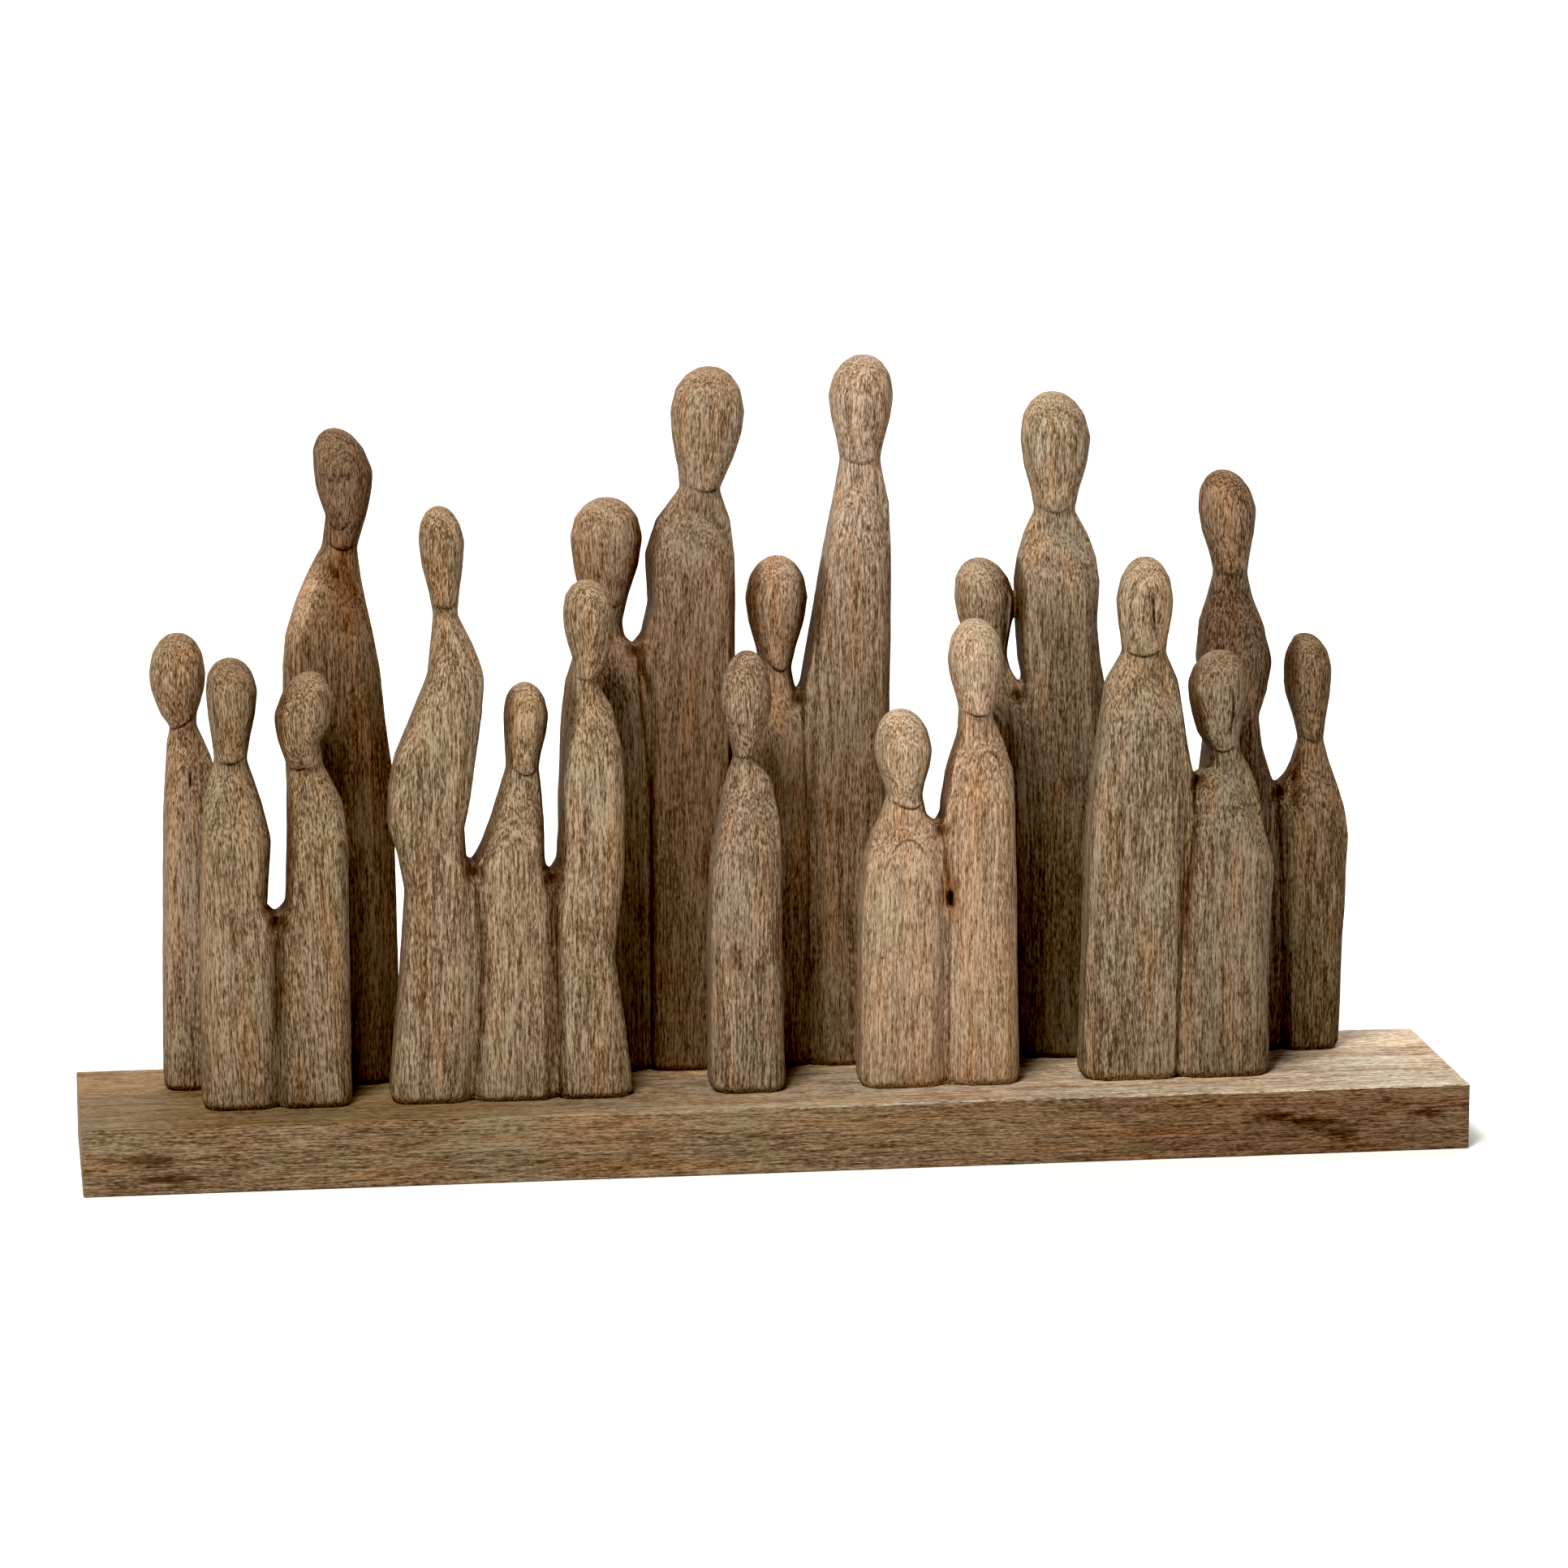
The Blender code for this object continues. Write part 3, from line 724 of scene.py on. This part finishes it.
middle_pair = rough_out("front_middle_pair")
cut_groove(middle_pair, (0.0744, 0.1463), (0.0772, 0.1069), (0.0775, 0.0686), (0.0770, 0.0303))
cut_chin(middle_pair, (0.0513, 0.1602), (0.0594, 0.1565), (0.0652, 0.1582), dark=(0.6, 0.9, 0.7))
cut_chin(middle_pair, (0.0836, 0.1999), (0.0906, 0.1975), (0.0953, 0.1992))
press(middle_pair, [(0.0600, 0.1644), (0.0607, 0.1578)], 0.0010, 0.0005)
carve_panels(
    middle_pair,
    (
        [(0.0440, 0.028), (0.0457, 0.064), (0.0482, 0.101)],
        low_arch,
        [(0.0683, 0.101), (0.0679, 0.028)],
        0.157,
    ),
    (
        [(0.0882, 0.029), (0.0879, 0.082), (0.0876, 0.134)],
        high_arch,
        [(0.1024, 0.155), (0.1037, 0.081), (0.1041, 0.029)],
        0.197,
    ),
)
for arch in (low_arch, high_arch):
    score(middle_pair, bow(*arch), depth=0.0004, shade_and_marks=0.75)
press(middle_pair, [(0.0560, 0.1905), (0.0590, 0.1740), (0.0602, 0.1600)], 0.0035, -0.0014, 1.0, fade=0.2)
score(middle_pair, [(0.0774, 0.1205), (0.0776, 0.1160), (0.0779, 0.1105)], 0.0013, 0.0018, 0.5)
score(middle_pair, [(0.0460, 0.0905), (0.0462, 0.0895)], 0.0011, 0.0008)
middle_wood = mango_wood(
    "middle_pair_mango", (0.284, 0.192, 0.126), pith=(70.0, 70.0), shift=510.0, old=0.35, contrast=0.72
)
blot(middle_wood, (0.0778, -0.0270, 0.1165), (0.0060, 0.0300, 0.0170), (0.66, 0.50, 0.36, 1.0))
blot(middle_wood, (0.0778, -0.0270, 0.1155), (0.0016, 0.0300, 0.0062), (0.12, 0.07, 0.04, 1.0), 0.3)
tint_where(middle_wood, (1.12, 1.18, 1.27), ("Z", 0.192, 0.202))
tint_where(middle_wood, (1.07, 1.19, 1.27), ("X", 0.078, 0.074), ("Z", 0.155, 0.163))
season(middle_pair, middle_wood)
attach(middle_pair, "root")
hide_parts("front_middle_pair")


# The front right pair
# A broad figure and a slighter one with its head drawn to the left, sawn and carved from one board.
# The mango wood is a little darker in the slighter figure, and palest in the broad one's head.

right_pair = rough_out("front_right_pair")
carve_panels(
    right_pair,
    (
        [(0.1486, 0.029), (0.1480, 0.080), (0.1471, 0.136)],
        [(0.1501, 0.1944), (0.1609, 0.2130), (0.1733, 0.1938)],
        [(0.1779, 0.153), (0.1803, 0.079), (0.1802, 0.029)],
        0.223,
    ),
    (
        [(0.1895, 0.029), (0.1893, 0.079), (0.1895, 0.116)],
        [(0.1919, 0.1527), (0.1995, 0.1655), (0.2082, 0.1523)],
        [(0.2160, 0.130), (0.2164, 0.078), (0.2183, 0.029)],
        0.179,
    ),
)
cut_groove(right_pair, (0.1898, 0.1653), (0.1852, 0.1194), (0.1831, 0.0748), (0.1821, 0.0303))
cut_chin(right_pair, (0.1557, 0.2260), (0.1642, 0.2226), (0.1725, 0.2256))
cut_chin(right_pair, (0.1937, 0.1820), (0.2008, 0.1785), (0.2067, 0.1817))
press(right_pair, [(0.2032, 0.1912), (0.2023, 0.1813)], 0.0010, 0.0004)
score(right_pair, [(0.2040, 0.2120), (0.2054, 0.1960), (0.2030, 0.1830)])
score(right_pair, [(0.1672, 0.2530), (0.1684, 0.2400), (0.1688, 0.2310)])
right_wood = mango_wood(
    "right_pair_mango", (0.204, 0.150, 0.099), pith=(150.0, 80.0), shift=700.0, old=0.55
)
tint_where(right_wood, (0.80, 0.78, 0.78), ("X", 0.180, 0.196))
tint_where(right_wood, (1.20, 1.18, 1.22), ("Z", 0.224, 0.234))
season(right_pair, right_wood)
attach(right_pair, "root")
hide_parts("front_right_pair")


# The back left single
# A slender figure behind the left pair, with its chin drawn to the right. It is sawn and carved
# from a strip of brown mango wood and has two small gouge marks in front.

left_single = rough_out("back_left_single")
carve_panels(
    left_single,
    (
        [(-0.2696, 0.029), (-0.2687, 0.084)],
        [(-0.2668, 0.1613), (-0.2618, 0.1813), (-0.2564, 0.1628)],
        [(-0.2547, 0.084), (-0.2556, 0.029)],
        0.194,
    ),
)
score(left_single, [(-0.2572, 0.1757), (-0.2574, 0.1666)])
score(left_single, [(-0.2640, 0.0738), (-0.2638, 0.0718)], 0.0009)
cut_chin(left_single, (-0.2670, 0.1940), (-0.2628, 0.1939), (-0.2544, 0.1991), dark=(0.7, 0.9, 0.4))
left_single_wood = mango_wood(
    "left_single_mango", (0.199, 0.135, 0.087), pith=(-240.0, 90.0), shift=900.0, old=0.8
)
season(left_single, left_single_wood)
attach(left_single, "root")
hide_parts("back_left_single")


# The tall back left figure
# Sawn and carved from dark mango heartwood, with a painted highlight down its left edge, where the
# chamfer faces the light, and a red patch below the neck. Its brow bulges over the face, and its
# chest is one broad plane. Painted shade darkens it low down, behind the front pair.

# A painted highlight down the tall figure's left chamfer: where it bends and leans, its edge, its top and
# its colour.
band_bend = 0.2328
band_lean = 0.35
band_edge = (-0.2080, -0.2088)
band_top = (0.268, 0.258)
chamfer_highlight_colour = (1.70, 1.80, 1.95, 1.0)


def tint_by_height(material, low, high, foot_colour, head_colour):
    """Multiplies the wood by one colour below a height and by another above a second one."""
    tree = material.node_tree
    tint = blend(tree, beyond(material, "Z", low, high), (*foot_colour, 1.0), (*head_colour, 1.0))
    overlay(material, 1.0, tint)


tall_left = rough_out("back_tall_left")
cut_chin(tall_left, (-0.1952, 0.2759), (-0.1888, 0.2721), (-0.1827, 0.2745))
# A crease under the brow, with painted shade in it.
press(tall_left, bow((-0.1968, 0.3055), (-0.1919, 0.3035), (-0.1847, 0.3063)), 0.0014, 0.0009, shade_and_marks=0.3)
press(tall_left, bow((-0.1968, 0.3105), (-0.1919, 0.3085), (-0.1847, 0.3113)), 0.0045, -0.0012)
score(tall_left, bow((-0.1957, 0.2868), (-0.1901, 0.2813), (-0.1850, 0.2858)), shade_and_marks=0.75)
carve_panels(
    tall_left,
    (
        [(-0.2112, 0.029), (-0.2112, 0.119), (-0.2100, 0.193)],
        [(-0.2083, 0.2327), (-0.1976, 0.2561), (-0.1835, 0.2376)],
        [(-0.1780, 0.192), (-0.1765, 0.118), (-0.1765, 0.029)],
        0.272,
    ),
)
tall_wood = mango_wood(
    "tall_left_mango", (0.140, 0.090, 0.055), pith=(-185.0, 40.0), shift=1100.0, old=1.0
)
# Painted shade: darker below the chest, where the front pair shades it, and a little paler above.
tint_by_height(tall_wood, 0.19, 0.262, (0.66, 0.60, 0.52), (1.13, 1.10, 1.04))
tint_where(tall_wood, (0.71, 0.71, 0.77), ("Z", 0.266, 0.280))
blot(tall_wood, (-0.1880, 0.0103, 0.2530), (0.0125, 0.0300, 0.0270), (0.70, 0.57, 0.51, 1.0), 0.35)
# A painted highlight down the left chamfer, where it faces the light, widening above the bend.
tree = tall_wood.node_tree
sideways, _, upward = coordinates(tree)
above_bend = add(tree, "Math", {0: upward, 1: -band_bend}, operation="ADD").outputs[0]
above_bend = add(tree, "Math", {0: above_bend, 1: 0.0}, operation="MAXIMUM").outputs[0]
lit_chamfer = step(tree, added(tree, sideways, above_bend, -band_lean), *band_edge)
overlay(tall_wood, times(tree, lit_chamfer, step(tree, upward, *band_top)), chamfer_highlight_colour)
season(tall_left, tall_wood)
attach(tall_left, "root")
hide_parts("back_tall_left")


# The back quartet
# Four figures of one wide board, two of them the tallest of all, with deep slots sawn between
# them. Shade is painted into the wood: darker towards the foot, behind the front row, and paler towards the
# heads.

quartet = rough_out("back_quartet")
carve_panels(
    quartet,
    (
        [(-0.0482, 0.029), (-0.0482, 0.113), (-0.0479, 0.187), (-0.0477, 0.239)],
        [(-0.0454, 0.2645), (-0.0337, 0.2800), (-0.0210, 0.2676)],
        [(-0.0166, 0.238), (-0.0164, 0.187), (-0.0165, 0.029)],
        0.294,
    ),
    (
        [(0.0305, 0.029), (0.0305, 0.111), (0.0293, 0.167), (0.0293, 0.204), (0.0314, 0.237)],
        [(0.0358, 0.2738), (0.0431, 0.2910), (0.0497, 0.2735)],
        [(0.0528, 0.237), (0.0532, 0.203), (0.0534, 0.029)],
        0.305,
    ),
)
cut_groove(quartet, (-0.0568, 0.2223), (-0.0517, 0.1570), (-0.0517, 0.0937), (-0.0517, 0.0303))
cut_groove(quartet, (-0.0132, 0.1693), (-0.0126, 0.1220), (-0.0121, 0.0762), (-0.0117, 0.0303))
cut_groove(quartet, (0.0174, 0.1983), (0.0205, 0.1412), (0.0210, 0.0857), (0.0213, 0.0303))
cut_chin(quartet, (-0.0751, 0.2453), (-0.0689, 0.2430), (-0.0624, 0.2447), depth=0.0008)
cut_chin(quartet, (-0.0359, 0.2975), (-0.0257, 0.2940), (-0.0199, 0.2961), dark=(0.1, 0.3, 1.0))
cut_chin(quartet, (0.0013, 0.2174), (0.0071, 0.2121), (0.0119, 0.2142))
cut_chin(quartet, (0.0342, 0.3090), (0.0438, 0.3051), (0.0504, 0.3079), depth=0.0006, dark=(0.5, 0.4, 0.2))
quartet_wood = mango_wood(
    "quartet_mango", (0.156, 0.100, 0.060), pith=(-20.0, 110.0), shift=1300.0, old=0.75, contrast=0.8
)
# Painted shade: darker towards the foot, where the front row shades it, and paler towards the heads.
tint_by_height(quartet_wood, 0.14, 0.31, (0.80, 0.76, 0.70), (1.38, 1.48, 1.66))
tint_where(quartet_wood, (1.26, 1.35, 1.45), ("X", 0.010, 0.030))
tint_where(
    quartet_wood, (0.86, 0.84, 0.82), ("X", -0.056, -0.050), ("X", -0.010, -0.018), ("Z", 0.298, 0.288)
)
tint_where(quartet_wood, (1.24, 1.28, 1.34), ("X", -0.018, -0.010), ("X", 0.022, 0.016))
season(quartet, quartet_wood)
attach(quartet, "root")
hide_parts("back_quartet")


# The inner back pair
# A small figure with its head held left, and a tall one that bends the same way over it, both sawn
# and carved from one board. Shade is painted into the wood: dark at the foot, behind the front row, paling
# towards the heads.

inner_pair = rough_out("back_inner_pair")
carve_panels(
    inner_pair,
    (
        [(0.1235, 0.029), (0.1208, 0.146), (0.1192, 0.202), (0.1186, 0.235)],
        [(0.1207, 0.2554), (0.1317, 0.2688), (0.1437, 0.2568)],
        [(0.1476, 0.235), (0.1483, 0.201), (0.1515, 0.145), (0.1530, 0.029)],
        0.281,
    ),
)
cut_groove(inner_pair, (0.1165, 0.1983), (0.1216, 0.1412), (0.1229, 0.0857), (0.1240, 0.0303))
cut_chin(inner_pair, (0.0922, 0.2156), (0.0996, 0.2125), (0.1070, 0.2153))
cut_chin(
    inner_pair, (0.1239, 0.2848), (0.1332, 0.2813), (0.1403, 0.2849), depth=0.0006, dark=(0.3, 0.4, 0.3)
)
inner_wood = mango_wood(
    "inner_pair_mango", (0.171, 0.120, 0.076), pith=(135.0, 75.0), shift=1500.0, old=0.7, contrast=0.8
)
# Painted shade: darker towards the foot, where the front row shades it, and paler towards the heads.
tint_by_height(inner_wood, 0.10, 0.30, (0.55, 0.50, 0.44), (1.42, 1.52, 1.66))
season(inner_pair, inner_wood)
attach(inner_pair, "root")
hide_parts("back_inner_pair")


# The outer back pair
# A figure with a swelling shoulder, and the low one that ends the row, both sawn and carved from
# one dark board of mango wood. It is paler in the low figure, and palest in the taller head.

outer_pair = rough_out("back_outer_pair")
round_off(outer_pair, (0.2350, 0.2120), 0.014, rounds=60)
carve_panels(
    outer_pair,
    (
        [(0.2080, 0.029), (0.2044, 0.181), (0.2025, 0.207)],
        [(0.2026, 0.2276), (0.2095, 0.2412), (0.2209, 0.2291)],
        [(0.2264, 0.214), (0.2241, 0.195), (0.2246, 0.162), (0.2330, 0.029)],
        0.251,
    ),
    (
        [(0.2445, 0.029), (0.2429, 0.086)],
        [(0.2436, 0.1347), (0.2523, 0.1553), (0.2610, 0.1343)],
        [(0.2635, 0.104), (0.2622, 0.066), (0.2617, 0.029)],
        0.174,
    ),
)
cut_groove(outer_pair, (0.2376, 0.1503), (0.2389, 0.1095), (0.2397, 0.0699), (0.2401, 0.0303))
cut_chin(
    outer_pair, (0.2052, 0.2532), (0.2127, 0.2512), (0.2205, 0.2525), depth=0.0006, dark=(0.4, 0.4, 0.3)
)
cut_chin(
    outer_pair, (0.2462, 0.1775), (0.2524, 0.1739), (0.2572, 0.1772), depth=0.0006, dark=(0.4, 0.5, 0.4)
)
# A deep hollow at the shoulder below the chin, with painted shade in it.
press(outer_pair, [(0.2460, 0.1680), (0.2448, 0.1450)], 0.0022, 0.0016, shade_and_marks=0.7)
outer_wood = mango_wood(
    "outer_pair_mango", (0.113, 0.072, 0.047), pith=(240.0, 70.0), shift=1700.0, old=0.8, contrast=1.0
)
tint_where(outer_wood, (1.50, 1.58, 1.60), ("Z", 0.238, 0.258))
tint_where(outer_wood, (1.25, 1.32, 1.22), ("X", 0.2380, 0.2410))
season(outer_pair, outer_wood)
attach(outer_pair, "root")
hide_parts("back_outer_pair")


# The floor, the lights and the camera
# A white paper sweep under the group and far behind it, lit by a lamp of its own, a large soft
# light from high in front on the left, and a weak one from the right.

sweep_width = 9.0
sweep_back = 3.2
sweep_front = 5.0
sweep_height = 3.5
sweep_bend = 1.4
paper_colour = (0.86, 0.86, 0.85, 1.0)
paper_roughness = 0.9
paper_shine = 0.1
room_colour = (1.0, 0.93, 0.84, 1.0)
room_strength = 0.12
black_level = 0.010

bpy.ops.object.select_all(action="DESELECT")
bpy.ops.mesh.primitive_plane_add(size=1.0, location=(0.0, (sweep_back - sweep_front) / 2.0, 0.0))
sweep = bpy.context.active_object
sweep.name = "paper_sweep"
sweep.scale = (sweep_width, sweep_back + sweep_front, 1.0)
bpy.ops.object.transform_apply(location=True, rotation=False, scale=True)
back_edge = sweep_back - 0.001
place, _ = places(sweep)
choose(sweep, place[:, 1] > back_edge)
bpy.ops.mesh.extrude_region_move(TRANSFORM_OT_translate={"value": (0.0, 0.0, sweep_height)})
bpy.ops.object.mode_set(mode="OBJECT")
place, _ = places(sweep)
choose(sweep, (place[:, 1] > back_edge) & (place[:, 2] < 0.001))
bpy.ops.mesh.bevel(offset=sweep_bend, segments=16, affect="EDGES")
bpy.ops.object.mode_set(mode="OBJECT")
sweep.data.shade_smooth()
paper = bpy.data.materials.new("white_paper")
paper.use_nodes = True
paper_shader = paper.node_tree.nodes["Principled BSDF"]
paper_shader.inputs["Base Color"].default_value = paper_colour
paper_shader.inputs["Roughness"].default_value = paper_roughness
paper_shader.inputs["Specular IOR Level"].default_value = paper_shine
sweep.data.materials.append(paper)

for name, place, aim, size, power, colour in (
    ("key_light", (-0.81, -1.40, 2.33), (0.0, 0.0, 0.12), (0.9, 0.9), 112.0, (1.0, 0.97, 0.93)),
    ("side_light", (1.70, -1.60, 1.10), (0.0, 0.0, 0.15), (1.0, 1.0), 4.0, (1.0, 0.98, 0.95)),
    ("sweep_light", (0.0, 1.6, 3.2), (0.0, 3.2, 0.6), (4.0, 1.0), 150.0, (1.0, 1.0, 1.0)),
):
    lamp = bpy.data.lights.new(name, "AREA")
    lamp.shape = "RECTANGLE"
    lamp.size, lamp.size_y = size
    lamp.energy = power
    lamp.color = colour
    stand = bpy.data.objects.new(name, lamp)
    stand.location = place
    stand.rotation_euler = (Vector(aim) - Vector(place)).to_track_quat("-Z", "Y").to_euler()
    bpy.context.collection.objects.link(stand)

room = bpy.data.worlds.new("pale_room")
room.use_nodes = True
room.node_tree.nodes["Background"].inputs["Color"].default_value = room_colour
room.node_tree.nodes["Background"].inputs["Strength"].default_value = room_strength
bpy.context.scene.world = room
tone_curve = bpy.context.scene.view_settings
tone_curve.view_transform = "Standard"
tone_curve.use_curve_mapping = True
tone_curve.curve_mapping.black_level = (black_level,) * 3
tone_curve.curve_mapping.update()

camera_place = (-0.35022, -2.53778, 0.65962)
camera_drop = math.radians(10.930)
camera_turn = math.radians(7.996)
camera_lens = 134.04
camera_sensor = 36.0

camera_data = bpy.data.cameras.new("camera")
camera_data.lens = camera_lens
camera_data.sensor_width = camera_sensor
camera = bpy.data.objects.new("camera", camera_data)
camera.location = camera_place
camera.rotation_euler = (math.radians(90.0) - camera_drop, 0.0, -camera_turn)
bpy.context.collection.objects.link(camera)
bpy.context.scene.camera = camera
